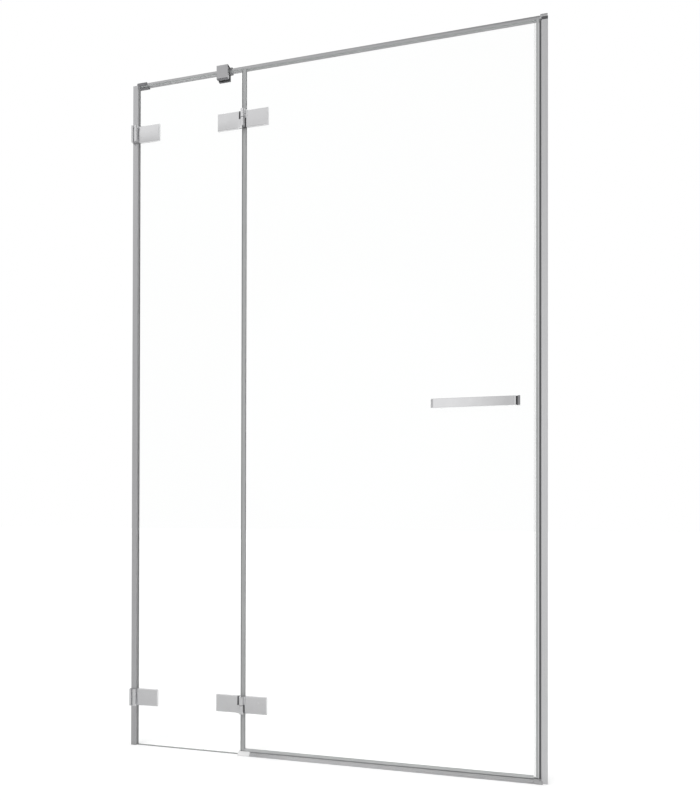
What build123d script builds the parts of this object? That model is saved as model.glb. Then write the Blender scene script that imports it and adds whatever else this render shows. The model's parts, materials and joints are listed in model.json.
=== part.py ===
from build123d import *
from math import radians, tan
import os

# Frameless niche shower door: a fixed glass panel at the left and a hinged glass leaf beside it.
# Millimetres. X runs to the right as seen from outside, -Y is outside, Z is up.
# The origin is on the floor, half way between the walls, in the middle of the glass.

# Opening and glass
niche_width = 1200.0
height = 2000.0
glass_thickness = 8.0
fixed_glass_edge = 350.5      # free edge of the fixed glass, from the left wall
leaf_gap = 6.0                # between the fixed glass and the door glass
door_top_drop = 3.0           # door glass below the top of the fixed glass
floor_seal_height = 2.0

# Wall profiles
profile_depth = 20.0
profile_wall = 2.0
left_profile_width = 16.0
right_profile_width = 15.6
glass_setback = 8.0           # fixed glass edge from the left wall
gasket_web = 1.5
gasket_lip_width = 2.2
gasket_lip_thickness = 3.0
gasket_lip_tip = 1.0
strike_profile_wall = 1.5
strike_profile_reach = 16.6   # its front web, from the right wall
strike_profile_length = 14.0
strike_slide = 0.2            # sliding gap to the wall profile
cap_height = 8.5
cap_plug_depth = 12.0
cap_plug_clearance = 0.3
cap_bevel = 1.0
profile_hole_radius = 2.5
profile_hole_spacing = 1200.0
strike_screw_radius = 1.75
strike_screw_head_radius = 3.4
strike_screw_head_height = 1.8
strike_screw_overrun = 1.0
strike_screw_from_end = 200.0

# Seals and magnets
seal_wall = 1.0
hinge_seal_leg = 6.5
hinge_bulb_depth = 7.0
hinge_bulb_gap = 0.3
hinge_bulb_wall = 0.8
strike_seal_leg = 6.0
strike_housing_width = 6.5
strike_housing_wall = 1.0
magnet_clearance = 0.1
closing_gap = 1.0             # between door seal and wall magnet
wall_magnet_width = 10.0
wall_magnet_thickness = 4.9
bottom_seal_leg = 4.0
bottom_seal_web = 1.4
drip_lip_reach = 3.6
drip_lip_drop = 0.7
drip_lip_root = 1.0
drip_lip_tip = 0.5

# Threshold
threshold_depth = 34.0
threshold_height = 9.5
threshold_edge = 1.5
threshold_flat = 10.0
threshold_shoulder = 1.0
threshold_running_gap = 0.5   # under the drip lip, over the end caps
threshold_start = 345.0       # from the left wall
left_cap_length = 36.0
right_cap_length = 21.0
right_cap_end = 13.0          # from the right wall
cap_skin = 0.6
cap_slot_clearance = 0.4

# Clamp plates of brackets and hinges
plate_length = 67.0
plate_height = 50.0
plate_thickness = 6.0
plate_bevel = 1.6
plate_crown = 1.2
back_plate_length = 50.0
back_plate_height = 20.0
back_plate_thickness = 5.0
back_plate_bevel = 1.0
gasket_thickness = 1.0
low_fitting_height = 146.0    # centre of the low fittings above the floor
high_fitting_drop = 150.0     # centre of the high fittings below the top
glass_hole_radius = 8.0
collar_clearance = 0.15
collar_wall = 3.0
collar_gap = 0.4              # between the two collars in one glass hole
screw_radius = 3.0
screw_clearance = 0.1
screw_spacing = 32.0
screw_depth_in_plate = 4.0
screw_head_radius = 5.5
screw_socket_radius = 2.3
screw_socket_depth = 2.0
screw_from_plate_end = 14.0   # first screw, from the left end of its plate

# Wall brackets
bracket_plate_start = 20.5    # glass plate from the left wall
flange_thickness = 6.0
flange_front = 22.0
flange_back = 24.0
flange_notch_clearance = 0.3
bracket_barrel_radius = 6.0
bracket_barrel_from_wall = 13.0
bracket_barrel_front = 16.0
bracket_root_setback = 8.0
flange_round = 5.0
flange_hole_radius = 2.65
flange_sink_radius = 5.2
flange_hole_back = 17.5
flange_hole_spacing = 30.0

# Hinges
knuckle_radius = 6.25
hinge_axis_front = 17.0       # axis in front of the glass centre
hinge_axis_from_edge = 6.5    # axis from the free edge of the fixed glass
fixed_leaf_to_axis = 14.0
door_leaf_to_axis = 8.5
knuckle_web_front = 12.5      # faces of the knuckle webs, in front of the glass centre
knuckle_web_back = 6.0
knuckle_web_overlap = 2.0     # into the plate
knuckle_gap = 1.4             # between the two knuckles
washer_running_gap = 0.1
washer_radius = 5.8
pin_radius = 3.0
pin_running_clearance = 0.05
pin_end_cover = 4.0
pin_end_gap = 1.0

# Handle
handle_from_wall = 76.5       # its right end, from the right wall
handle_length = 222.0
handle_height = 24.5
handle_thickness = 12.0
handle_centre_height = 993.5
handle_end_radius = 9.0
handle_edge_radius = 1.0
handle_back_from_glass = 38.0
post_radius = 5.5
post_from_end = 25.0
post_spigot_radius = 3.0
post_spigot_clearance = 0.05
post_spigot_length = 6.0
handle_washer_radius = 6.5
handle_hole_radius = 5.5
handle_sleeve_clearance = 0.2
handle_bolt_radius = 3.0
handle_bolt_depth = 10.0
handle_bolt_tip_gap = 1.0
handle_button_radius = 5.5
handle_button_height = 2.5
handle_button_round = 1.5

# Stabiliser bar
bar_radius = 8.0
bar_wall = 1.5
bar_back = 25.0               # bar centre behind the glass centre
bar_above_glass = 15.5        # bar centre above the top of the fixed glass
bar_fit = 0.05
socket_radius = 11.0
socket_end = 27.0             # split centre, from the left wall
collar_end = 33.0             # collar's far end, from the left wall
socket_tilt = 42.0
collar_tilt = 22.0
socket_split = 0.2
socket_floor = 15.0
wall_stud_radius = 4.0
wall_stud_depth = 12.0
right_socket_length = 18.0
right_socket_floor = 5.0
right_socket_hole_radius = 2.75
grub_radius = 2.0
grub_length = 2.8
grub_from_floor = 3.0         # left grub screw from the floor of its cup
grub_from_mouth = 5.0         # right grub screw from the mouth of its cup
bar_end_gap = 0.2

# Clamp that ties the fixed glass to the bar
clamp_left = 274.5            # from the left wall
clamp_width = 35.0
clamp_front = 15.0
clamp_grip = 24.0             # below the top of the glass
clamp_glass_gap = 3.5         # above the top of the glass
clamp_back_leg = 7.0
clamp_edge = 0.8
clamp_grub_recess = 1.0
clamp_pad_thickness = 1.0
clamp_side_screw_radius = 2.6
clamp_side_screw_height = 1.5
clamp_side_shank_radius = 1.5
clamp_side_shank_length = 8.0
clamp_side_screw_rise = 6.0   # above the top of the glass

# Places worked out from the sizes above
left_wall = -niche_width / 2
right_wall = niche_width / 2
glass_face = glass_thickness / 2
profile_face = profile_depth / 2
channel_face = profile_face - profile_wall
plate_back = glass_face + gasket_thickness
plate_front = plate_back + plate_thickness
fitting_heights = {"lower": low_fitting_height, "upper": height - high_fitting_drop}
fixed_glass_left = left_wall + glass_setback
fixed_glass_right = left_wall + fixed_glass_edge
door_glass_left = fixed_glass_right + leaf_gap
axis_x = fixed_glass_right + hinge_axis_from_edge
axis_y = -hinge_axis_front
strike_web_x = right_wall - strike_profile_reach
wall_magnet_x = strike_web_x - wall_magnet_thickness
housing_right = wall_magnet_x - closing_gap
housing_left = housing_right - strike_housing_width
door_glass_right = housing_left
seal_bottom = threshold_height + cap_skin + threshold_running_gap + drip_lip_drop
door_glass_bottom = seal_bottom + bottom_seal_web
door_glass_top = height - door_top_drop
profile_top = height - cap_height
strike_screw_heights = (strike_screw_from_end, height / 2, height - strike_screw_from_end)
bar_height = height + bar_above_glass
clamp_bottom = height - clamp_grip
clamp_top = bar_height
handle_back = -glass_face - handle_back_from_glass
handle_front = handle_back - handle_thickness
handle_right = right_wall - handle_from_wall
handle_left = handle_right - handle_length
post_places = (handle_left + post_from_end, handle_right - post_from_end)


# Shapes that repeat

def block(x0, x1, y0, y1, z0, z1):
    """A box given by its faces."""
    size = Box(abs(x1 - x0), abs(y1 - y0), abs(z1 - z0))
    return Pos((x0 + x1) / 2, (y0 + y1) / 2, (z0 + z1) / 2) * size


def rod_x(radius, x0, x1, y, z):
    """A round bar along X."""
    bar = Rot(0, 90, 0) * Cylinder(radius, abs(x1 - x0))
    return Pos((x0 + x1) / 2, y, z) * bar


def rod_y(radius, y0, y1, x, z):
    """A round bar along Y."""
    bar = Rot(90, 0, 0) * Cylinder(radius, abs(y1 - y0))
    return Pos(x, (y0 + y1) / 2, z) * bar


def rod_z(radius, z0, z1, x, y):
    """A round bar along Z."""
    return Pos(x, y, (z0 + z1) / 2) * Cylinder(radius, abs(z1 - z0))


def outline_xy(points, z0, z1):
    """A straight-sided outline seen from above, run up from z0 to z1."""
    face = make_face(Polyline(*points, close=True))
    return Pos(0, 0, z0) * extrude(face, z1 - z0)


def outline_yz(points, x0, x1):
    """A straight-sided outline seen along X, run from x0 to x1."""
    face = Plane.YZ * make_face(Polyline(*points, close=True))
    return Pos(x0, 0, 0) * extrude(face, x1 - x0)


def mirrored(points):
    """The points with their mirror images in the other half of Y."""
    return points + [(x, -y) for x, y in reversed(points)]


def clamp_plate(length, thickness):
    """A glass clamp plate with a crowned, bevelled face.

    It runs from x = 0 to its length, centred on z = 0, with its flat back on y = 0
    and its face towards -y."""
    half = plate_height / 2
    edge_y = -thickness + plate_crown
    side = [
        Line((0, -half), (edge_y + plate_bevel, -half)),
        Line((edge_y + plate_bevel, -half), (edge_y, -half + plate_bevel)),
        ThreePointArc((edge_y, -half + plate_bevel), (-thickness, 0), (edge_y, half - plate_bevel)),
        Line((edge_y, half - plate_bevel), (edge_y + plate_bevel, half)),
        Line((edge_y + plate_bevel, half), (0, half)),
        Line((0, half), (0, -half)),
    ]
    crowned = extrude(Plane.YZ * make_face(side), length)
    top = [
        (0, 0),
        (length, 0),
        (length, edge_y + plate_bevel),
        (length - plate_bevel, -thickness),
        (0, -thickness),
    ]
    return crowned & outline_xy(top, -half, half)


def screw_places(plate_start):
    """Places along X of the two screws of one plate."""
    first = plate_start + screw_from_plate_end
    return [first, first + screw_spacing]


def clamp_screw(x, z):
    """A countersunk screw from the back plate into the front plate, with a hexagon socket."""
    head_back = plate_back + back_plate_thickness
    head_height = screw_head_radius - screw_radius
    tip = -(plate_back + screw_depth_in_plate)
    shank = rod_y(screw_radius, tip, head_back - head_height, x, z)
    cone = Rot(-90, 0, 0) * Cone(screw_radius, screw_head_radius, head_height)
    head = Pos(x, head_back - head_height / 2, z) * cone
    socket_face = Plane((x, head_back, z), z_dir=(0, 1, 0)) * RegularPolygon(screw_socket_radius, 6)
    socket = extrude(socket_face, -screw_socket_depth)
    return shank + head - socket


def clamp_screws(plate_start, centre):
    return [clamp_screw(x, centre) for x in screw_places(plate_start)]


def tapped_holes(plate_start, centre):
    """Blind holes in a front plate for its two screws."""
    depth = plate_back + screw_depth_in_plate + screw_clearance
    radius = screw_radius + screw_clearance
    return [rod_y(radius, -depth, -plate_back, x, centre) for x in screw_places(plate_start)]


def sunk_hole(x, z):
    """A countersunk through hole in a back plate."""
    face = plate_back + back_plate_thickness
    radius = screw_radius + screw_clearance
    wide = screw_head_radius + screw_clearance
    sink = Rot(-90, 0, 0) * Cone(radius, wide, wide - radius)
    return rod_y(radius, plate_back, face, x, z) + Pos(x, face - (wide - radius) / 2, z) * sink


def back_oblong(plate_start, centre, y0, y1):
    """The round-ended outline of the back plates, about the two screws."""
    first, second = screw_places(plate_start)
    middle = Plane(((first + second) / 2, y0, centre), x_dir=(1, 0, 0), z_dir=(0, 1, 0))
    return extrude(middle * SlotOverall(back_plate_length, back_plate_height), y1 - y0)


def back_plate(plate_start, centre):
    """The round-ended plate behind the glass, with a bevel round its face to the inside."""
    face = plate_back + back_plate_thickness
    plate = back_oblong(plate_start, centre, plate_back, face)
    plate = chamfer(plate.faces().sort_by(Axis.Y)[-1].edges(), back_plate_bevel)
    return plate - [sunk_hole(x, centre) for x in screw_places(plate_start)]


def glass_gaskets(plate_start, centre):
    """Two gaskets for one pair of plates, with collars that line the glass holes."""
    half = plate_height / 2
    plate_end = plate_start + plate_length
    sheets = {
        -1: block(plate_start, plate_end, -plate_back, -glass_face, centre - half, centre + half),
        1: back_oblong(plate_start, centre, glass_face, plate_back),
    }
    outer = glass_hole_radius - collar_clearance
    bore = screw_radius + screw_clearance
    inner = outer - collar_wall
    for side in sheets:
        for x in screw_places(plate_start):
            sheets[side] += rod_y(outer, side * glass_face, side * collar_gap / 2, x, centre)
            sheets[side] -= rod_y(inner, side * glass_face, side * collar_gap / 2, x, centre)
            sheets[side] -= rod_y(bore, side * glass_face, side * plate_back, x, centre)
    return list(sheets.values())


# Walls

def left_profile():
    x0, x1 = left_wall, left_wall + left_profile_width
    channel = block(x0, x1, -profile_face, profile_face, 0, height)
    channel -= block(x0 + profile_wall, x1, -channel_face, channel_face, 0, height)
    half = plate_height / 2 + flange_notch_clearance
    for z in fitting_heights.values():
        flange_x = x0 + flange_thickness + flange_notch_clearance
        channel -= block(x0, flange_x, -profile_face, profile_face, z - half, z + half)
        channel -= block(x0, x1, -profile_face, -channel_face, z - half, z + half)
    for z in profile_hole_heights():
        channel -= rod_x(profile_hole_radius, x0, x0 + profile_wall, 0, z)
    return channel


def profile_hole_heights():
    return [height / 2 - profile_hole_spacing / 2, height / 2 + profile_hole_spacing / 2]


def left_gasket():
    lip_x = left_wall + left_profile_width + gasket_lip_width
    channel_x = left_wall + left_profile_width
    back_x = fixed_glass_left - gasket_web
    lip_face = glass_face + gasket_lip_thickness
    half_outline = [(back_x, channel_face), (channel_x, channel_face)]
    half_outline += [(channel_x, lip_face), (lip_x, glass_face + gasket_lip_tip), (lip_x, glass_face)]
    half_outline += [(fixed_glass_left, glass_face)]
    gasket = outline_xy(mirrored(half_outline), 0, height)
    half = plate_height / 2 + flange_notch_clearance
    for z in fitting_heights.values():
        gasket -= block(left_wall, lip_x, -channel_face, -glass_face, z - half, z + half)
    return gasket


def right_profile():
    x0 = right_wall - right_profile_width
    channel = block(x0, right_wall, -profile_face, profile_face, 0, profile_top)
    channel -= block(x0, right_wall - profile_wall, -channel_face, channel_face, 0, profile_top)
    for z in profile_hole_heights():
        channel -= rod_x(profile_hole_radius, right_wall - profile_wall, right_wall, 0, z)
    hole_radius = strike_screw_radius + screw_clearance
    for z in strike_screw_heights:
        channel -= rod_y(hole_radius, channel_face, profile_face, strike_screw_x(), z)
    return channel


def strike_screw_x():
    return right_wall - right_profile_width / 2


def strike_profile():
    """The channel that slides in the right wall profile and takes up an uneven wall."""
    outer = channel_face - strike_slide
    x1 = strike_web_x + strike_profile_length
    channel = block(strike_web_x, x1, -outer, outer, 0, profile_top)
    inner = outer - strike_profile_wall
    channel -= block(strike_web_x + strike_profile_wall, x1, -inner, inner, 0, profile_top)
    hole_radius = strike_screw_radius + screw_clearance
    for z in strike_screw_heights:
        channel -= rod_y(hole_radius, inner, outer, strike_screw_x(), z)
    return channel


def strike_screws():
    """Pan-head screws on the inside that lock the strike profile."""
    inner = channel_face - strike_slide - strike_profile_wall
    screws = []
    for z in strike_screw_heights:
        tip = inner - strike_screw_overrun
        shank = rod_y(strike_screw_radius, tip, profile_face, strike_screw_x(), z)
        head = rod_y(strike_screw_head_radius, profile_face, profile_face + strike_screw_head_height,
                     strike_screw_x(), z)
        head = fillet(head.edges().sort_by(Axis.Y)[-1], strike_screw_head_height / 2)
        screws.append(shank + head)
    return screws


def right_cap():
    """The plug-in cap on top of the right wall profile."""
    lid = block(strike_web_x, right_wall, -profile_face, profile_face, profile_top, height)
    lid = chamfer(lid.faces().sort_by(Axis.Z)[-1].edges().filter_by(Axis.X), cap_bevel)
    inner = channel_face - strike_slide - strike_profile_wall - cap_plug_clearance
    x0 = strike_web_x + strike_profile_wall + cap_plug_clearance
    x1 = strike_web_x + strike_profile_length - cap_plug_clearance
    return lid + block(x0, x1, -inner, inner, profile_top - cap_plug_depth, profile_top)


def wall_magnet():
    half = wall_magnet_width / 2
    return block(wall_magnet_x, strike_web_x, -half, half, seal_bottom, profile_top)


# Glass

def glass_panel(x0, x1, z0, z1, plate_starts, handle_places):
    """A pane with its edges ground, and the holes for the clamp screws and the handle."""
    pane = block(x0, x1, -glass_face, glass_face, z0, z1)
    for start in plate_starts:
        for x in screw_places(start):
            for z in fitting_heights.values():
                pane -= rod_y(glass_hole_radius, -glass_face, glass_face, x, z)
    for x in handle_places:
        pane -= rod_y(handle_hole_radius, -glass_face, glass_face, x, handle_centre_height)
    return pane


def floor_seal():
    x0 = left_wall + left_profile_width + gasket_lip_width
    return block(x0, fixed_glass_right, -glass_face, glass_face, 0, floor_seal_height)


# Door seals

def hinge_edge_seal():
    """Channel on the hinge edge of the door glass, with a hollow bulb towards the fixed glass."""
    web_x = door_glass_left - seal_wall
    outer = glass_face + seal_wall
    leg_x = door_glass_left + hinge_seal_leg
    channel = block(web_x, leg_x, -outer, outer, door_glass_bottom, door_glass_top)
    channel -= block(door_glass_left, leg_x, -glass_face, glass_face, door_glass_bottom, door_glass_top)
    bulb_x = fixed_glass_right + hinge_bulb_gap
    half = hinge_bulb_depth / 2
    for inset, sign in ((0, 1), (hinge_bulb_wall, -1)):
        arc = ThreePointArc((web_x, half - inset), (bulb_x + inset, 0), (web_x, inset - half))
        face = make_face([arc, Line((web_x, inset - half), (web_x, half - inset))])
        bulb = Pos(0, 0, door_glass_bottom) * extrude(face, door_glass_top - door_glass_bottom)
        channel = channel + bulb if sign > 0 else channel - bulb
    return channel


def strike_edge_seal():
    """Channel on the strike edge of the door glass, with a housing for the magnet."""
    outer = glass_face + seal_wall
    leg_x = door_glass_right - strike_seal_leg
    seal = block(leg_x, housing_right, -outer, outer, door_glass_bottom, door_glass_top)
    seal -= block(leg_x, door_glass_right, -glass_face, glass_face, door_glass_bottom, door_glass_top)
    room = outer - strike_housing_wall
    x0, x1 = housing_left + strike_housing_wall, housing_right - strike_housing_wall
    return seal - block(x0, x1, -room, room, door_glass_bottom, door_glass_top)


def door_magnet():
    inset = strike_housing_wall + magnet_clearance
    half = glass_face + seal_wall - inset
    x0, x1 = housing_left + inset, housing_right - inset
    return block(x0, x1, -half, half, door_glass_bottom, door_glass_top)


def bottom_seal():
    """Channel under the door glass, with a skirt in front and a drip lip that points to the inside."""
    outer = glass_face + seal_wall
    top = door_glass_bottom + bottom_seal_leg
    x0 = door_glass_left + hinge_seal_leg
    x1 = door_glass_right - strike_seal_leg
    points = [
        (-outer, top),
        (-outer, seal_bottom - drip_lip_drop),
        (-glass_face, seal_bottom - drip_lip_drop),
        (-glass_face, seal_bottom),
        (outer - drip_lip_root, seal_bottom),
        (outer + drip_lip_reach, seal_bottom - drip_lip_drop),
        (outer + drip_lip_reach, seal_bottom - drip_lip_drop + drip_lip_tip),
        (outer, seal_bottom + drip_lip_root),
        (outer, top),
        (glass_face, top),
        (glass_face, door_glass_bottom),
        (-glass_face, door_glass_bottom),
        (-glass_face, top),
    ]
    return outline_yz(points, x0, x1)


# Threshold

def threshold_outline(skin):
    """The threshold's section, grown by a skin."""
    base = threshold_depth / 2 + skin
    top = threshold_height + skin
    flat = threshold_flat / 2 + skin
    return [
        (-base, 0),
        (-base, threshold_edge + skin),
        (-flat - 2 * threshold_shoulder, top - threshold_shoulder),
        (-flat, top),
        (flat, top),
        (flat + 2 * threshold_shoulder, top - threshold_shoulder),
        (base, threshold_edge + skin),
        (base, 0),
    ]


def threshold_strip():
    x0 = left_wall + threshold_start + left_cap_length
    x1 = right_wall - right_cap_end - right_cap_length
    return outline_yz(threshold_outline(0), x0, x1)


def threshold_left_cap():
    """End cap that straddles the corner of the fixed glass."""
    x0 = left_wall + threshold_start
    cap = outline_yz(threshold_outline(cap_skin), x0, x0 + left_cap_length)
    half = glass_face + cap_slot_clearance
    slot_x = fixed_glass_right + cap_slot_clearance
    return cap - block(x0, slot_x, -half, half, 0, height)


def threshold_right_cap():
    """End cap whose nose runs on in front of the right wall profile."""
    x1 = right_wall - right_cap_end
    cap = outline_yz(threshold_outline(cap_skin), x1 - right_cap_length, x1)
    clear = wall_magnet_x - cap_slot_clearance
    behind = -profile_face - cap_slot_clearance
    return cap - block(clear, x1, behind, threshold_depth, 0, height)


# Wall brackets

def bracket_start():
    return left_wall + bracket_plate_start


def wall_bracket(centre):
    """Casting with a wall flange, a barrel nose and the plate in front of the glass."""
    half = plate_height / 2
    plate = Pos(bracket_start(), -plate_back, 0) * clamp_plate(plate_length, plate_thickness)
    neck_front = -plate_front + plate_crown
    neck = block(left_wall, bracket_start(), neck_front, -plate_back, -half, half)
    flange = block(left_wall, left_wall + flange_thickness, -flange_front, flange_back, -half, half)
    front_edge = flange.edges().filter_by(Axis.Z).group_by(Axis.Y)[0].sort_by(Axis.X)[-1]
    flange = fillet(front_edge, flange_round)
    barrel_x = left_wall + bracket_barrel_from_wall
    barrel = rod_z(bracket_barrel_radius, -half, half, barrel_x, -bracket_barrel_front)
    root = block(left_wall, barrel_x, bracket_root_setback - flange_front, neck_front, -half, half)
    casting = plate + neck + flange + barrel + root
    for z in (-flange_hole_spacing / 2, flange_hole_spacing / 2):
        casting -= rod_x(flange_hole_radius, left_wall, left_wall + flange_thickness, flange_hole_back, z)
        depth = flange_sink_radius - flange_hole_radius
        sink = Rot(0, 90, 0) * Cone(flange_hole_radius, flange_sink_radius, depth)
        casting -= Pos(left_wall + flange_thickness - depth / 2, flange_hole_back, z) * sink
    casting = Pos(0, 0, centre) * casting
    return casting - tapped_holes(bracket_start(), centre)


# Hinges

def fixed_leaf_end():
    return axis_x - fixed_leaf_to_axis


def fixed_leaf_start():
    return fixed_leaf_end() - plate_length


def door_leaf_start():
    return axis_x + door_leaf_to_axis


def knuckle(x_from, z0, z1):
    """A barrel half with the web that joins it to its plate."""
    web = block(x_from, axis_x, -knuckle_web_front, -knuckle_web_back, z0, z1)
    barrel = rod_z(knuckle_radius, z0, z1, axis_x, axis_y)
    return web + barrel


def hinge_fixed_leaf(centre):
    """Plate on the fixed glass with the lower knuckle, bored through for the pin."""
    plate = Rot(0, 180, 0) * clamp_plate(plate_length, plate_thickness)
    leaf = Pos(fixed_leaf_end(), -plate_back, centre) * plate
    z0, z1 = centre - plate_height / 2, centre - knuckle_gap / 2
    leaf += knuckle(fixed_leaf_end() - knuckle_web_overlap, z0, z1)
    leaf -= rod_z(pin_radius, z0, z1, axis_x, axis_y)
    return leaf - tapped_holes(fixed_leaf_start(), centre)


def hinge_door_leaf(centre):
    """Plate on the door glass with the upper knuckle, blind-bored so that it lifts off the pin."""
    plate = clamp_plate(plate_length, plate_thickness)
    leaf = Pos(door_leaf_start(), -plate_back, centre) * plate
    z0, z1 = centre + knuckle_gap / 2, centre + plate_height / 2
    leaf += knuckle(door_leaf_start() + knuckle_web_overlap, z0, z1)
    bore = pin_radius + pin_running_clearance
    leaf -= rod_z(bore, z0, z1 - pin_end_cover, axis_x, axis_y)
    return leaf - tapped_holes(door_leaf_start(), centre)


def hinge_pin(centre):
    top = centre + plate_height / 2 - pin_end_cover - pin_end_gap
    return rod_z(pin_radius, centre - plate_height / 2, top, axis_x, axis_y)


def hinge_washer(centre):
    """Slip washer that carries the door's knuckle on the fixed one."""
    z0 = centre - knuckle_gap / 2
    z1 = centre + knuckle_gap / 2 - washer_running_gap
    ring = rod_z(washer_radius, z0, z1, axis_x, axis_y)
    return ring - rod_z(pin_radius + pin_running_clearance, z0, z1, axis_x, axis_y)


# Handle

def handle_bar():
    """Flat bar with its two ends rounded back towards the glass."""
    z0 = handle_centre_height - handle_height / 2
    bar = block(handle_left, handle_right, handle_front, handle_back, z0, z0 + handle_height)
    front_corners = bar.edges().filter_by(Axis.Z).group_by(Axis.Y)[0]
    bar = fillet(front_corners, handle_end_radius)
    rims = bar.faces().sort_by(Axis.Y)[0].edges()
    bar = fillet(rims.filter_by(Axis.X), handle_edge_radius)
    bore = post_spigot_radius + post_spigot_clearance
    for x in post_places:
        bar -= rod_y(bore, handle_back, handle_back - post_spigot_length, x, handle_centre_height)
    return bar


def handle_posts():
    """Round spacers between the bar and the glass, tapped from the glass side."""
    posts = []
    foot = -glass_face - gasket_thickness
    for x in post_places:
        post = rod_y(post_radius, handle_back, foot, x, handle_centre_height)
        spigot = rod_y(post_spigot_radius, handle_back - post_spigot_length, handle_back, x,
                       handle_centre_height)
        depth = handle_bolt_depth + handle_bolt_tip_gap
        tapped = rod_y(handle_bolt_radius + screw_clearance, foot, foot - depth, x, handle_centre_height)
        posts.append(post + spigot - tapped)
    return posts


def handle_washers():
    """Clear washers on both faces of the glass, with a sleeve through the hole."""
    pieces = []
    bore = handle_bolt_radius + screw_clearance
    for x in post_places:
        for side in (-1, 1):
            ring = rod_y(handle_washer_radius, side * glass_face, side * (glass_face + gasket_thickness), x,
                         handle_centre_height)
            sleeve = rod_y(handle_hole_radius - handle_sleeve_clearance, side * collar_gap / 2,
                           side * glass_face, x, handle_centre_height)
            hole = rod_y(bore, 0, side * (glass_face + gasket_thickness), x, handle_centre_height)
            pieces.append(ring + sleeve - hole)
    return pieces


def handle_bolts():
    """Button-head bolts from the inside into the posts."""
    bolts = []
    seat = glass_face + gasket_thickness
    tip = -seat - handle_bolt_depth
    for x in post_places:
        shank = rod_y(handle_bolt_radius, tip, seat, x, handle_centre_height)
        head = rod_y(handle_button_radius, seat, seat + handle_button_height, x, handle_centre_height)
        head = fillet(head.edges().sort_by(Axis.Y)[-1], handle_button_round)
        bolts.append(shank + head)
    return bolts


# Stabiliser bar

def grub_hole(x):
    """A hole for a grub screw, through the back of a sleeve round the bar."""
    return rod_y(grub_radius, bar_back + bar_radius, bar_back + 2 * socket_radius, x, bar_height)


def bar_grub(x):
    """A grub screw that presses on the bar from behind."""
    y0 = bar_back + bar_radius + bar_fit
    return rod_y(grub_radius, y0, y0 + grub_length, x, bar_height)


def left_grub_x():
    return left_wall + socket_floor + grub_from_floor


def right_grub_x():
    return right_wall - right_socket_length + grub_from_mouth


def tilted_half(x, tilt):
    """A big half space to the left of a plane that leans by tilt from upright, through x on the bar."""
    reach = 6 * socket_radius
    lean = tan(radians(tilt)) * reach
    points = [(x + lean, bar_height - reach), (x - lean, bar_height + reach)]
    points += [(x - lean - 2 * reach, bar_height + reach), (x - lean - 2 * reach, bar_height - reach)]
    face = Plane.XZ * make_face(Polyline(*points, close=True))
    return Pos(0, bar_back + reach, 0) * extrude(face, 2 * reach)


def left_socket():
    """Wall cup of the bar, cut off at a slant, with a blind hole for a wall stud."""
    x1 = left_wall + socket_end + 2 * socket_radius
    cup = rod_x(socket_radius, left_wall, x1, bar_back, bar_height)
    cup = cup & tilted_half(left_wall + socket_end, socket_tilt)
    cup -= rod_x(bar_radius + bar_fit, left_wall + socket_floor, x1, bar_back, bar_height)
    cup -= rod_x(wall_stud_radius, left_wall, left_wall + wall_stud_depth, bar_back, bar_height)
    return cup - grub_hole(left_grub_x())


def left_collar():
    """Slanted ring that closes the joint between the cup and the bar."""
    x1 = left_wall + collar_end + 2 * socket_radius
    ring = rod_x(socket_radius, left_wall, x1, bar_back, bar_height)
    ring = ring & tilted_half(left_wall + collar_end, collar_tilt)
    ring = ring - tilted_half(left_wall + socket_end + socket_split, socket_tilt)
    return ring - rod_x(bar_radius + bar_fit, left_wall, x1, bar_back, bar_height)


def right_socket():
    """Short wall cup behind the right wall profile, with a hole for a wall screw."""
    x0 = right_wall - right_socket_length
    cup = rod_x(socket_radius, x0, right_wall, bar_back, bar_height)
    cup -= rod_x(bar_radius + bar_fit, x0, right_wall - right_socket_floor, bar_back, bar_height)
    cup -= rod_x(right_socket_hole_radius, x0, right_wall, bar_back, bar_height)
    return cup - grub_hole(right_grub_x())


def stabiliser_bar():
    x0 = left_wall + socket_floor + bar_end_gap
    x1 = right_wall - right_socket_floor - bar_end_gap
    tube = rod_x(bar_radius, x0, x1, bar_back, bar_height)
    return tube - rod_x(bar_radius - bar_wall, x0, x1, bar_back, bar_height)


def socket_grubs():
    """Grub screws that lock the bar in its two wall cups."""
    return [bar_grub(left_grub_x()), bar_grub(right_grub_x())]


def clamp_body():
    """Inverted U over the glass with a sleeve round the bar."""
    x0 = left_wall + clamp_left
    x1 = x0 + clamp_width
    slot = glass_face + clamp_pad_thickness
    back = slot + clamp_back_leg
    roof = height + clamp_glass_gap
    body = block(x0, x1, -clamp_front, back, clamp_bottom, clamp_top)
    body = chamfer(body.edges().filter_by(Axis.X).group_by(Axis.Y)[0], clamp_edge)
    body += block(x0, x1, back, bar_back, roof, clamp_top)
    body += rod_x(socket_radius, x0, x1, bar_back, bar_height)
    body -= block(x0, x1, -slot, slot, clamp_bottom, roof)
    body -= rod_x(bar_radius + bar_fit, x0, x1, bar_back, bar_height)
    middle = (x0 + x1) / 2
    body -= rod_y(grub_radius, slot, back, middle, clamp_screw_height())
    shank_hole = clamp_side_shank_radius + screw_clearance
    hole_end = x1 - clamp_side_shank_length - screw_clearance
    body -= rod_x(shank_hole, hole_end, x1, clamp_side_screw_y(), clamp_side_screw_z())
    return body - grub_hole(middle)


def clamp_screw_height():
    return (clamp_bottom + height) / 2


def clamp_pads():
    """Rubber pads on both faces of the glass."""
    x0 = left_wall + clamp_left
    x1 = x0 + clamp_width
    outer = glass_face + clamp_pad_thickness
    return [block(x0, x1, side * glass_face, side * outer, clamp_bottom, height) for side in (-1, 1)]


def clamp_grubs():
    """Grub screws: one presses on the glass pad, one locks the sleeve on the bar."""
    x = left_wall + clamp_left + clamp_width / 2
    slot = glass_face + clamp_pad_thickness
    pinch = rod_y(grub_radius, slot, slot + clamp_back_leg - clamp_grub_recess, x, clamp_screw_height())
    return [pinch, bar_grub(x)]


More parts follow.
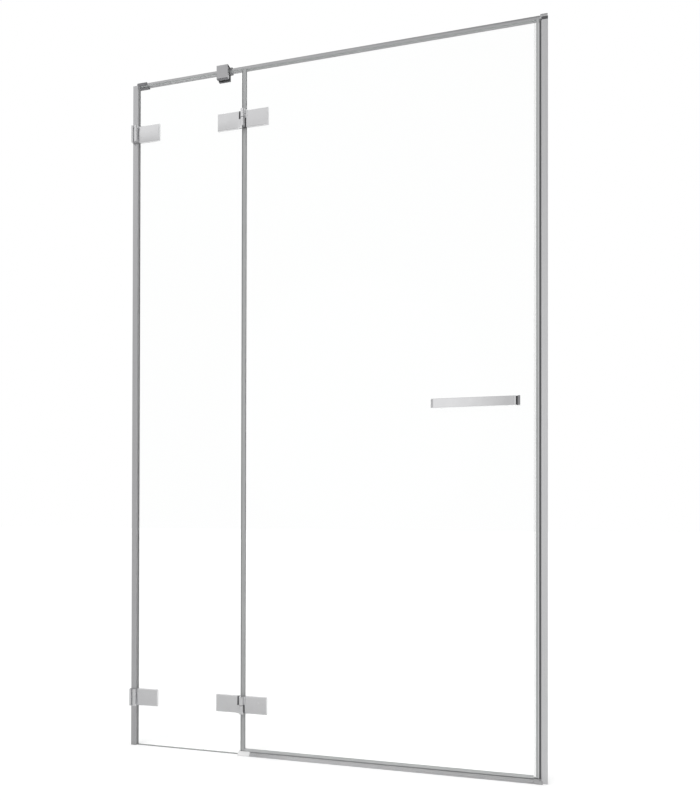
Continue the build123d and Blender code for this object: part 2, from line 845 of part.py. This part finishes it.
def clamp_side_screw_y():
    return -(clamp_front + glass_face + clamp_pad_thickness) / 2


def clamp_side_screw_z():
    return height + clamp_side_screw_rise


def clamp_side_screw():
    """Round-headed screw in the side of the front leg."""
    x0 = left_wall + clamp_left + clamp_width
    y, z = clamp_side_screw_y(), clamp_side_screw_z()
    head = rod_x(clamp_side_screw_radius, x0, x0 + clamp_side_screw_height, y, z)
    head = fillet(head.edges().sort_by(Axis.X)[-1], clamp_side_screw_height / 2)
    return head + rod_x(clamp_side_shank_radius, x0 - clamp_side_shank_length, x0, y, z)


# All pieces by name

def all_pieces():
    plates_on_fixed_glass = [bracket_start(), fixed_leaf_start()]
    pieces = {
        "left_wall_profile": left_profile(),
        "left_glazing_gasket": left_gasket(),
        "right_wall_profile": right_profile(),
        "right_strike_profile": strike_profile(),
        "right_strike_screws": strike_screws(),
        "right_profile_cap": right_cap(),
        "wall_magnet_strip": wall_magnet(),
        "fixed_glass": glass_panel(fixed_glass_left, fixed_glass_right, floor_seal_height, height,
                                   plates_on_fixed_glass, []),
        "fixed_floor_seal": floor_seal(),
        "door_glass": glass_panel(door_glass_left, door_glass_right, door_glass_bottom, door_glass_top,
                                  [door_leaf_start()], post_places),
        "door_hinge_edge_seal": hinge_edge_seal(),
        "door_strike_edge_seal": strike_edge_seal(),
        "door_magnet_strip": door_magnet(),
        "door_bottom_seal": bottom_seal(),
        "threshold_strip": threshold_strip(),
        "threshold_left_cap": threshold_left_cap(),
        "threshold_right_cap": threshold_right_cap(),
        "handle_bar": handle_bar(),
        "handle_posts": handle_posts(),
        "handle_washers": handle_washers(),
        "handle_bolts": handle_bolts(),
        "stabiliser_bar": stabiliser_bar(),
        "left_bar_socket": left_socket(),
        "left_bar_collar": left_collar(),
        "right_bar_socket": right_socket(),
        "bar_socket_grub_screws": socket_grubs(),
        "bar_clamp_body": clamp_body(),
        "bar_clamp_pads": clamp_pads(),
        "bar_clamp_grub_screws": clamp_grubs(),
        "bar_clamp_side_screw": clamp_side_screw(),
    }
    for name, centre in fitting_heights.items():
        pieces[name + "_wall_bracket"] = wall_bracket(centre)
        pieces[name + "_hinge_fixed_leaf"] = hinge_fixed_leaf(centre)
        pieces[name + "_hinge_door_leaf"] = hinge_door_leaf(centre)
        places = {
            "_bracket": bracket_start(),
            "_hinge_fixed": fixed_leaf_start(),
            "_hinge_door": door_leaf_start(),
        }
        for place, start in places.items():
            pieces[name + place + "_back_plate"] = back_plate(start, centre)
            pieces[name + place + "_gaskets"] = glass_gaskets(start, centre)
            pieces[name + place + "_screws"] = clamp_screws(start, centre)
        pieces[name + "_hinge_pin"] = hinge_pin(centre)
        pieces[name + "_hinge_washer"] = hinge_washer(centre)
    return pieces


os.makedirs("parts", exist_ok=True)
for node, shape in all_pieces().items():
    solids = shape if isinstance(shape, list) else [shape]
    solids = [solid for item in solids for solid in item.solids()]
    export_step(Compound(children=solids), "parts/" + node + ".step")
    print(node, len(solids))
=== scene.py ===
import json
from math import pi, radians

import bpy
from mathutils import Euler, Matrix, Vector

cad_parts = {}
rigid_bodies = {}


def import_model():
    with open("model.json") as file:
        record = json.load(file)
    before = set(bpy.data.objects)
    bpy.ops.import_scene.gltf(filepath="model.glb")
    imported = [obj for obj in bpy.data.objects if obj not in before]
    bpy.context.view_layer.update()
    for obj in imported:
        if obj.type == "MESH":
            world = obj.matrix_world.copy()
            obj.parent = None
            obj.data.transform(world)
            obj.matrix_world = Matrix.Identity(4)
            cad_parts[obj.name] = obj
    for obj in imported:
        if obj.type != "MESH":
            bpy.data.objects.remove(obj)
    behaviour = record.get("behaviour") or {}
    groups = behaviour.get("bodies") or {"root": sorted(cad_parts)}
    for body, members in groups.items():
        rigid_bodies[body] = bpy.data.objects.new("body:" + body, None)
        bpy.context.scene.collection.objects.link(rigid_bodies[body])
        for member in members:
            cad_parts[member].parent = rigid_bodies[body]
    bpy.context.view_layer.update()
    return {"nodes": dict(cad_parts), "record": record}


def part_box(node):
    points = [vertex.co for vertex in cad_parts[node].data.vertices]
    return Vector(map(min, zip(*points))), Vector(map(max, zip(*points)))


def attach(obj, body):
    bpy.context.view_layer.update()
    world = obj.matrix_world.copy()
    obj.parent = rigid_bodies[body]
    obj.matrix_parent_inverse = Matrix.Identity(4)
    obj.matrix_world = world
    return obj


for leftover in list(bpy.data.objects):
    bpy.data.objects.remove(leftover)

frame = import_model()
nodes = frame["nodes"]

# The photograph's camera, in metres, degrees and pixels of the 700 by 800 frame
image_width = 700
image_height = 800
camera_place = (0.5187, -2.0573, 0.6992)
camera_turn = 15.957          # to the left of straight ahead
camera_tilt = 0.333           # upwards
camera_roll = 0.121
axis_pixel = (300.86, 509.72)   # where the camera's axis meets the picture
focal_pixels = 750.07
sensor_width = 36.0           # millimetres, along the long side

# Edges of the metal pieces, in metres
edge_round = 0.0004
edge_angle = 35.0
joined_within = 0.000002
pane_inset = 0.00003          # keeps the glass clear of what presses on it

# Axes along which the profiles and seals were drawn
level, upright = 0, 2

# The range of a noise pattern that most of it keeps to
noise_low, noise_high = 0.3, 0.7

# How strongly clear and soft materials bend light
glass_ior = 1.25              # below real glass: the photograph's panes mirror next to nothing
ground_edge_ior = 1.5
plastic_ior = 1.46

# The strike seal: where its housing starts across its width, and how much its clear legs show
housing_share = 0.48
housing_blend = 0.02
clear_leg_shown = 0.06

# Dark strips that fill the gaps behind the knuckles, in metres
strip_front = -0.0085
strip_back = -0.0042
strip_margin = 0.0006

# The closing end of the handle: a dark block in the seam, painted shadow of the gap there, and the cap
# beyond it, in metres
seam_width = 0.0012
seam_inset = 0.0004
end_cap_length = 0.0060

# The plug in the notch of the threshold's right cap, in metres
plug_half_depth = 0.0096
plug_foot = 0.0004

# Studio
white = (1.0, 1.0, 1.0, 1.0)
room_strength = 0.80
sun_strength = 0.6
sun_softness = 35.0
floor_size = 60.0
floor_tone = 0.70
floor_glow = 0.42             # for the camera only, so that the floor is as white as the backdrop
sun_turn = (radians(38), radians(-22), 0)

# What the metal mirrors, each as start, end, brightness at the start and at the end.
# The first two go from left to right, the screens from their middles outwards.
high_front = (-0.55, 0.25, 0.98, 0.35)
low_front = (0.15, 0.60, 0.62, 0.80)
screen_middle = (-0.20, -0.970, 0.14)   # a direction, left of straight ahead
screen_glow = (0.15, 0.19, 0.35, 0.0)
side_screen_middle = (0.38, -0.80, 0.455)
side_screen_glow = (0.08, 0.22, 1.40, 0.0)
low_to_high = (0.28, 0.44, 0.0, 1.0)
front_to_back = (-0.35, 0.25, 1.0, 0.18)
ceiling_glow = (0.50, 0.75, 0.0, 0.70)


# Nodes of a material

def new_material(name):
    """An empty node material: its node tree and its Principled shader."""
    material = bpy.data.materials.new(name)
    material.use_nodes = True
    return material, material.node_tree, material.node_tree.nodes["Principled BSDF"]


def place_on_piece(tree, scale):
    """Coordinates on the piece itself, in metres, times a scale for each axis."""
    place = tree.nodes.new("ShaderNodeTexCoord")
    stretch = tree.nodes.new("ShaderNodeMapping")
    stretch.inputs["Scale"].default_value = scale
    tree.links.new(place.outputs["Object"], stretch.inputs["Vector"])
    return stretch.outputs["Vector"]


def noise(tree, scale, detail):
    """A noise pattern between 0 and 1, with its scale in cells a metre along each axis."""
    pattern = tree.nodes.new("ShaderNodeTexNoise")
    pattern.inputs["Scale"].default_value = 1.0
    pattern.inputs["Detail"].default_value = detail
    tree.links.new(place_on_piece(tree, scale), pattern.inputs["Vector"])
    return pattern.outputs["Fac"]


def spread(tree, value, low, high):
    """The middle of a noise pattern spread over the range from low to high."""
    ramp = tree.nodes.new("ShaderNodeMapRange")
    ramp.inputs["From Min"].default_value = noise_low
    ramp.inputs["From Max"].default_value = noise_high
    ramp.inputs["To Min"].default_value = low
    ramp.inputs["To Max"].default_value = high
    tree.links.new(value, ramp.inputs["Value"])
    return ramp.outputs["Result"]


def two_tones(tree, value, dark, light):
    """A colour between two tones, chosen by a noise pattern."""
    mix = tree.nodes.new("ShaderNodeMix")
    mix.data_type = "RGBA"
    mix.inputs["A"].default_value = (*dark, 1.0)
    mix.inputs["B"].default_value = (*light, 1.0)
    tree.links.new(spread(tree, value, 0.0, 1.0), mix.inputs["Factor"])
    return mix.outputs["Result"]


def bumps(tree, value, height):
    """A bump from a noise pattern, its height in metres."""
    bump = tree.nodes.new("ShaderNodeBump")
    bump.inputs["Strength"].default_value = 1.0
    bump.inputs["Distance"].default_value = height
    tree.links.new(value, bump.inputs["Height"])
    return bump.outputs["Normal"]


# Materials

def satin_chrome(name, tone, roughness):
    """Chromed zinc: even and smooth, with the faint clouds that hands and cloths leave."""
    material, tree, shader = new_material(name)
    shader.inputs["Metallic"].default_value = 1.0
    clouds = noise(tree, (35.0, 35.0, 35.0), 3.0)
    dark = [channel * 0.97 for channel in tone]
    tree.links.new(two_tones(tree, clouds, dark, tone), shader.inputs["Base Color"])
    hairlines = noise(tree, (60.0, 60.0, 60.0), 4.0)
    rough = spread(tree, hairlines, roughness * 0.85, roughness * 1.15)
    tree.links.new(rough, shader.inputs["Roughness"])
    grain = noise(tree, (900.0, 900.0, 900.0), 2.0)
    tree.links.new(bumps(tree, grain, 0.000004), shader.inputs["Normal"])
    return material


def drawn_aluminium(name, tone, roughness, along):
    """Anodised aluminium with the fine lines of its extrusion along one axis."""
    material, tree, shader = new_material(name)
    shader.inputs["Metallic"].default_value = 1.0
    fine = [2600.0, 2600.0, 2600.0]
    fine[along] = 1.5
    lines = noise(tree, fine, 2.0)
    dark = [channel * 0.95 for channel in tone]
    tree.links.new(two_tones(tree, lines, dark, tone), shader.inputs["Base Color"])
    rough = spread(tree, lines, roughness * 0.85, roughness * 1.2)
    tree.links.new(rough, shader.inputs["Roughness"])
    tree.links.new(bumps(tree, lines, 0.000006), shader.inputs["Normal"])
    return material


def stainless_steel():
    """Screws and pins: turned steel, a little duller than the chrome."""
    material, tree, shader = new_material("stainless_steel")
    shader.inputs["Metallic"].default_value = 1.0
    rings = noise(tree, (1500.0, 1500.0, 1500.0), 3.0)
    tree.links.new(two_tones(tree, rings, (0.55, 0.55, 0.56), (0.66, 0.66, 0.67)),
                   shader.inputs["Base Color"])
    tree.links.new(spread(tree, rings, 0.25, 0.40), shader.inputs["Roughness"])
    return material


def clear_glass():
    """Clear toughened glass. Light from the lamps goes straight through, as it nearly does."""
    material, tree, shader = new_material("clear_glass")
    shader.inputs["Base Color"].default_value = (0.996, 1.0, 0.998, 1.0)
    shader.inputs["Roughness"].default_value = 0.0
    shader.inputs["IOR"].default_value = glass_ior
    shader.inputs["Transmission Weight"].default_value = 1.0
    waves = noise(tree, (6.0, 6.0, 6.0), 1.0)
    tree.links.new(bumps(tree, waves, 0.00002), shader.inputs["Normal"])
    see_through = tree.nodes.new("ShaderNodeBsdfTransparent")
    ray = tree.nodes.new("ShaderNodeLightPath")
    choose = tree.nodes.new("ShaderNodeMixShader")
    tree.links.new(ray.outputs["Is Shadow Ray"], choose.inputs["Fac"])
    tree.links.new(shader.outputs["BSDF"], choose.inputs[1])
    tree.links.new(see_through.outputs["BSDF"], choose.inputs[2])
    output = tree.nodes["Material Output"]
    tree.links.new(choose.outputs["Shader"], output.inputs["Surface"])
    return material


def ground_glass_edge():
    """The ground and polished edge of a pane, grey with a hint of green."""
    material, tree, shader = new_material("ground_glass_edge")
    wheel = noise(tree, (3000.0, 3000.0, 3000.0), 2.0)
    tree.links.new(two_tones(tree, wheel, (0.36, 0.39, 0.38), (0.46, 0.49, 0.48)),
                   shader.inputs["Base Color"])
    shader.inputs["Roughness"].default_value = 0.25
    shader.inputs["IOR"].default_value = ground_edge_ior
    return material


def soft_plastic(name, dark, light, roughness, clear, along):
    """Soft extruded plastic with faint draw lines, clear to the given share."""
    material, tree, shader = new_material(name)
    fine = [1500.0, 1500.0, 1500.0]
    fine[along] = 4.0
    lines = noise(tree, fine, 2.0)
    tree.links.new(two_tones(tree, lines, dark, light), shader.inputs["Base Color"])
    shader.inputs["Roughness"].default_value = roughness
    shader.inputs["IOR"].default_value = plastic_ior
    shader.inputs["Transmission Weight"].default_value = clear
    tree.links.new(bumps(tree, lines, 0.00001), shader.inputs["Normal"])
    return material


def strike_seal_plastic(housing_from):
    """The strike seal's plastic: clear legs on the glass and a milky housing for the magnet."""
    material, tree, shader = new_material("strike_seal")
    place = tree.nodes.new("ShaderNodeTexCoord")
    axes = tree.nodes.new("ShaderNodeSeparateXYZ")
    tree.links.new(place.outputs["Generated"], axes.inputs["Vector"])
    housing = step_along(tree, axes.outputs["X"],
                         housing_from - housing_blend, housing_from + housing_blend, 0.0, 1.0)
    lines = noise(tree, (1500.0, 1500.0, 4.0), 2.0)
    milky = two_tones(tree, lines, (0.42, 0.43, 0.43), (0.52, 0.53, 0.53))
    tree.links.new(milky, shader.inputs["Base Color"])
    tree.links.new(step_along(tree, housing, 0.0, 1.0, clear_leg_shown, 1.0), shader.inputs["Alpha"])
    shader.inputs["Roughness"].default_value = 0.30
    shader.inputs["IOR"].default_value = plastic_ior
    return material


def moulded_plastic(name, dark, light, roughness):
    """Moulded plastic with a fine spark-eroded grain."""
    material, tree, shader = new_material(name)
    grain = noise(tree, (1800.0, 1800.0, 1800.0), 3.0)
    tree.links.new(two_tones(tree, grain, dark, light), shader.inputs["Base Color"])
    shader.inputs["Roughness"].default_value = roughness
    tree.links.new(bumps(tree, grain, 0.00001), shader.inputs["Normal"])
    return material


# Finish of the CAD pieces

def soften_edges(piece):
    """Rounds the sharp edges of a metal piece by less than half a millimetre."""
    weld = piece.modifiers.new("weld", "WELD")
    weld.merge_threshold = joined_within
    bevel = piece.modifiers.new("bevel", "BEVEL")
    bevel.width = edge_round
    bevel.segments = 2
    bevel.limit_method = "ANGLE"
    bevel.angle_limit = radians(edge_angle)
    bevel.use_clamp_overlap = True
    shade = piece.modifiers.new("shade", "WEIGHTED_NORMAL")
    shade.keep_sharp = False
    for face in piece.data.polygons:
        face.use_smooth = True


def two_finishes(piece, first, second, is_second):
    """Gives the faces that pass a test the second finish, and all others the first."""
    piece.data.materials.clear()
    piece.data.materials.append(first)
    piece.data.materials.append(second)
    for face in piece.data.polygons:
        face.material_index = 1 if is_second(face.normal) else 0


def finish_pane(pane, clear, edge):
    """Clear faces, and a ground edge all round."""
    two_finishes(pane, clear, edge, lambda normal: abs(normal.y) < 0.5)
    weld = pane.modifiers.new("weld", "WELD")
    weld.merge_threshold = joined_within
    inset = pane.modifiers.new("inset", "DISPLACE")
    inset.strength = -pane_inset
    inset.mid_level = 0.0


def own_finishes():
    """Pieces whose finish departs from that of their slot."""
    return {
        "stabiliser_bar": satin_chrome("steel_tube", (0.55, 0.55, 0.56), 0.34),
        "left_bar_socket": satin_chrome("socket_steel", (0.26, 0.26, 0.27), 0.34),
        "left_bar_collar": satin_chrome("collar_steel", (0.22, 0.22, 0.23), 0.34),
        "bar_clamp_body": satin_chrome("clamp_chrome", (0.50, 0.50, 0.51), 0.30),
        "handle_bar": satin_chrome("handle_chrome", (0.78, 0.78, 0.79), 0.12),
        # Painted light and shade: the two wall profiles are the same aluminium, the left one given a
        # darker tone and the right one a lighter tone for the different light falling on each.
        "left_wall_profile": drawn_aluminium("drawn_aluminium_left_painted_shade", (0.57, 0.57, 0.58), 0.30, upright),
        "right_wall_profile": drawn_aluminium("drawn_aluminium_right_painted_light", (0.81, 0.81, 0.82), 0.30, upright),
        "threshold_strip": drawn_aluminium("drawn_aluminium_level", (0.72, 0.72, 0.73), 0.30, level),
        "left_glazing_gasket": soft_plastic("glazing_rubber", (0.36, 0.36, 0.365), (0.46, 0.46, 0.465),
                                            0.55, 0.0, upright),
        "wall_magnet_strip": soft_plastic("magnet_rubber", (0.08, 0.08, 0.085), (0.13, 0.13, 0.135),
                                          0.5, 0.0, upright),
        "fixed_floor_seal": soft_plastic("floor_seal", (0.20, 0.20, 0.205), (0.28, 0.28, 0.285),
                                         0.40, 0.0, level),
        "threshold_right_cap": moulded_plastic("cap_plastic", (0.36, 0.36, 0.365), (0.46, 0.46, 0.465),
                                               0.35),
        "door_strike_edge_seal": strike_seal_plastic(housing_share),
        "door_bottom_seal": soft_plastic("bottom_seal", (0.66, 0.67, 0.67), (0.76, 0.77, 0.77),
                                         0.30, 0.25, level),
    }


def finish_all():
    """Gives every CAD piece its own finish, or the one of its slot in the record."""
    metals = {
        "chromed_zinc": satin_chrome("satin_chrome", (0.78, 0.78, 0.79), 0.24),
        "polished_aluminium": drawn_aluminium("drawn_aluminium", (0.72, 0.72, 0.73), 0.30, upright),
        "stainless_steel": stainless_steel(),
    }
    others = {
        "clear_seal": soft_plastic("clear_seal", (0.50, 0.51, 0.51), (0.62, 0.63, 0.63),
                                   0.30, 0.25, upright),
        "grey_gasket": soft_plastic("grey_gasket", (0.13, 0.13, 0.135), (0.20, 0.20, 0.205),
                                    0.45, 0.0, upright),
        "black_rubber": soft_plastic("black_rubber", (0.05, 0.05, 0.055), (0.09, 0.09, 0.095),
                                     0.55, 0.0, upright),
        "black_plastic": moulded_plastic("black_plastic", (0.07, 0.07, 0.075), (0.11, 0.11, 0.115),
                                         0.40),
        "pale_plastic": moulded_plastic("pale_plastic", (0.86, 0.86, 0.86), (0.92, 0.92, 0.92), 0.25),
    }
    by_slot = {**metals, **others}
    own = own_finishes()
    # Painted shade: the clamp's underside and the right-hand face of the bar's left collar get a darker
    # chrome that stands for the shade on them, not a finish of their own.
    painted_shade_chrome = satin_chrome("painted_shade_chrome", (0.18, 0.18, 0.19), 0.40)
    painted_shade_faces = {
        "bar_clamp_body": lambda normal: normal.z < -0.5,
        "left_bar_collar": lambda normal: normal.x > 0.7,
    }
    clear, edge = clear_glass(), ground_glass_edge()
    for part in frame["record"]["subparts"]:
        name, slot = part["node"], part["material_slot"]
        piece = nodes[name]
        if slot == "clear_glass":
            finish_pane(piece, clear, edge)
            continue
        if name.endswith("_gaskets"):
            slot = "grey_gasket"
        finish = own.get(name, by_slot[slot])
        if name in painted_shade_faces:
            two_finishes(piece, finish, painted_shade_chrome, painted_shade_faces[name])
        else:
            piece.data.materials.clear()
            piece.data.materials.append(finish)
        if slot in metals:
            soften_edges(piece)


# Small pieces that only the scene has

def block(name, low, high, body, finish):
    """A box with softened edges, from its low corner to its high one, that rides on a body."""
    corners = [(x, y, z) for x in (low[0], high[0]) for y in (low[1], high[1]) for z in (low[2], high[2])]
    faces = [(0, 1, 3, 2), (4, 6, 7, 5), (0, 4, 5, 1), (2, 3, 7, 6), (0, 2, 6, 4), (1, 5, 7, 3)]
    mesh = bpy.data.meshes.new(name)
    mesh.from_pydata(corners, [], faces)
    mesh.materials.append(finish)
    piece = bpy.data.objects.new(name, mesh)
    bpy.context.scene.collection.objects.link(piece)
    bevel = piece.modifiers.new("bevel", "BEVEL")
    bevel.width = edge_round
    bevel.segments = 2
    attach(piece, body)


def hinge_strips():
    """Dark strips on both panes, between each hinge plate and the knuckle of the other leaf."""
    dark_strip_finish = soft_plastic("dark_gap_strip", (0.10, 0.10, 0.105), (0.15, 0.15, 0.155), 0.55, 0.0, upright)
    fixed_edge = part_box("fixed_glass")[1].x - strip_margin
    door_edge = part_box("door_glass")[0].x + strip_margin
    for height in ("lower", "upper"):
        low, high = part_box(height + "_hinge_fixed_gaskets")
        block(height + "_hinge_strip", (high.x, strip_front, low.z), (fixed_edge, strip_back, high.z),
              "root", dark_strip_finish)
        low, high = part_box(height + "_hinge_door_gaskets")
        block(height + "_hinge_door_strip", (door_edge, strip_front, low.z), (low.x, strip_back, high.z),
              "door", dark_strip_finish)


def handle_end():
    """The cap on the closing end of the handle, and before it a dark block that paints the shadow in the
    seam.
    """
    low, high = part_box("handle_bar")
    # Painted shadow: a dark block fills the seam between the handle and its cap where there is only a
    # shadowed gap.
    seam_painted_shadow = soft_plastic("seam_painted_shadow", (0.13, 0.13, 0.135), (0.18, 0.18, 0.185), 0.55, 0.0, upright)
    cap = satin_chrome("cap_chrome", (0.34, 0.34, 0.35), 0.25)
    seam_end = high.x + seam_width
    block("handle_end_seam_painted_shadow", (high.x, low.y + seam_inset, low.z + seam_inset),
          (seam_end, high.y - seam_inset, high.z - seam_inset), "door", seam_painted_shadow)
    block("handle_end_cap", (seam_end, low.y, low.z), (seam_end + end_cap_length, high.y, high.z),
          "door", cap)


def threshold_plug():
    """A plug under the wall's magnet strip, in the notch of the threshold's right cap."""
    low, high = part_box("wall_magnet_strip")
    plastic = moulded_plastic("plug_plastic", (0.30, 0.30, 0.305), (0.40, 0.40, 0.405), 0.35)
    block("threshold_plug", (low.x, -plug_half_depth, plug_foot), (high.x, plug_half_depth, low.z),
          "root", plastic)


# Studio

def studio_world():
    """White for what looks past or through the object, and a soft studio for what lights it."""
    world = bpy.data.worlds.new("studio")
    bpy.context.scene.world = world
    world.use_nodes = True
    tree = world.node_tree
    tree.nodes.clear()
    output = tree.nodes.new("ShaderNodeOutputWorld")
    ray = tree.nodes.new("ShaderNodeLightPath")
    behind = tree.nodes.new("ShaderNodeBackground")
    behind.inputs["Color"].default_value = white
    room = tree.nodes.new("ShaderNodeBackground")
    room.inputs["Color"].default_value = white
    room.inputs["Strength"].default_value = room_strength
    mirrored = tree.nodes.new("ShaderNodeBackground")
    tree.links.new(studio_tone(tree), mirrored.inputs["Color"])

    seen = arithmetic(tree, "MAXIMUM", ray.outputs["Is Camera Ray"], ray.outputs["Is Transmission Ray"])
    lit = tree.nodes.new("ShaderNodeMixShader")
    tree.links.new(ray.outputs["Is Glossy Ray"], lit.inputs["Fac"])
    tree.links.new(room.outputs["Background"], lit.inputs[1])
    tree.links.new(mirrored.outputs["Background"], lit.inputs[2])
    both = tree.nodes.new("ShaderNodeMixShader")
    tree.links.new(seen, both.inputs["Fac"])
    tree.links.new(lit.outputs["Shader"], both.inputs[1])
    tree.links.new(behind.outputs["Background"], both.inputs[2])
    tree.links.new(both.outputs["Shader"], output.inputs["Surface"])


def step_along(tree, value, start, end, low, high):
    """A smooth step from low to high as value goes from start to end."""
    ramp = tree.nodes.new("ShaderNodeMapRange")
    ramp.interpolation_type = "SMOOTHSTEP"
    ramp.inputs["From Min"].default_value = start
    ramp.inputs["From Max"].default_value = end
    ramp.inputs["To Min"].default_value = low
    ramp.inputs["To Max"].default_value = high
    tree.links.new(value, ramp.inputs["Value"])
    return ramp.outputs["Result"]


def arithmetic(tree, operation, first, second):
    """The result of one sum on two values."""
    node = tree.nodes.new("ShaderNodeMath")
    node.operation = operation
    tree.links.new(first, node.inputs[0])
    tree.links.new(second, node.inputs[1])
    return node.outputs["Value"]


def glow_about(tree, direction, middle, glow):
    """A round glow about one direction: its start, its end and the brightness at each."""
    away = tree.nodes.new("ShaderNodeVectorMath")
    away.operation = "DISTANCE"
    tree.links.new(direction, away.inputs[0])
    away.inputs[1].default_value = middle
    return step_along(tree, away.outputs["Value"], *glow)


def studio_tone(tree):
    """Brightness of the room by direction, for what the metal mirrors.

    In front it falls from left to right high up, and lower down it is even, with a pale screen
    left of straight ahead. Another screen hangs high up at the right. Behind the door it is dark
    up to the ceiling."""
    direction = tree.nodes.new("ShaderNodeTexCoord").outputs["Generated"]
    axes = tree.nodes.new("ShaderNodeSeparateXYZ")
    tree.links.new(direction, axes.inputs["Vector"])
    across, upward = axes.outputs["X"], axes.outputs["Z"]
    high = step_along(tree, across, *high_front)
    low = step_along(tree, across, *low_front)
    screen = glow_about(tree, direction, screen_middle, screen_glow)
    side_screen = glow_about(tree, direction, side_screen_middle, side_screen_glow)
    front = tree.nodes.new("ShaderNodeMix")
    tree.links.new(step_along(tree, upward, *low_to_high), front.inputs["Factor"])
    tree.links.new(arithmetic(tree, "ADD", low, screen), front.inputs["A"])
    tree.links.new(arithmetic(tree, "ADD", high, side_screen), front.inputs["B"])
    walls = step_along(tree, axes.outputs["Y"], *front_to_back)
    ceiling = step_along(tree, upward, *ceiling_glow)
    around = arithmetic(tree, "MAXIMUM", walls, ceiling)
    return arithmetic(tree, "MULTIPLY", front.outputs["Result"], around)


def sun():
    """One soft lamp from the upper left front."""
    lamp = bpy.data.lights.new("key", "SUN")
    lamp.energy = sun_strength
    lamp.angle = radians(sun_softness)
    holder = bpy.data.objects.new("key", lamp)
    holder.rotation_euler = sun_turn
    holder.visible_glossy = False
    bpy.context.scene.collection.objects.link(holder)


def studio_floor():
    """A white floor that still takes the shadow of the object."""
    material = bpy.data.materials.new("white_floor")
    material.use_nodes = True
    tree = material.node_tree
    shader = tree.nodes["Principled BSDF"]
    shader.inputs["Base Color"].default_value = (floor_tone, floor_tone, floor_tone, 1.0)
    shader.inputs["Roughness"].default_value = 0.9
    shader.inputs["Specular IOR Level"].default_value = 0.0
    glow = tree.nodes.new("ShaderNodeEmission")
    ray = tree.nodes.new("ShaderNodeLightPath")
    seen = arithmetic(tree, "MAXIMUM", ray.outputs["Is Camera Ray"], ray.outputs["Is Transmission Ray"])
    tree.links.new(step_along(tree, seen, 0.0, 1.0, 0.0, floor_glow), glow.inputs["Strength"])
    total = tree.nodes.new("ShaderNodeAddShader")
    tree.links.new(shader.outputs["BSDF"], total.inputs[0])
    tree.links.new(glow.outputs["Emission"], total.inputs[1])
    tree.links.new(total.outputs["Shader"], tree.nodes["Material Output"].inputs["Surface"])

    mesh = bpy.data.meshes.new("floor")
    half = floor_size / 2
    corners = [(-half, -half, 0), (half, -half, 0), (half, half, 0), (-half, half, 0)]
    mesh.from_pydata(corners, [], [(0, 1, 2, 3)])
    mesh.materials.append(material)
    floor = bpy.data.objects.new("floor", mesh)
    bpy.context.scene.collection.objects.link(floor)


def camera():
    """The photograph's camera: level but for a trace, with the frame shifted off its axis."""
    lens = bpy.data.cameras.new("camera")
    lens.sensor_width = sensor_width
    lens.lens = focal_pixels * sensor_width / image_height
    lens.shift_x = (image_width / 2 - axis_pixel[0]) / image_height
    lens.shift_y = (axis_pixel[1] - image_height / 2) / image_height
    holder = bpy.data.objects.new("camera", lens)
    holder.location = camera_place
    turned = Euler((pi / 2 + radians(camera_tilt), 0, radians(camera_turn))).to_matrix()
    rolled = turned @ Euler((0, 0, radians(camera_roll))).to_matrix()
    holder.rotation_euler = rolled.to_euler()
    bpy.context.scene.collection.objects.link(holder)
    bpy.context.scene.camera = holder


finish_all()
hinge_strips()
handle_end()
threshold_plug()
studio_world()
sun()
studio_floor()
camera()
bpy.context.scene.view_settings.view_transform = "Standard"
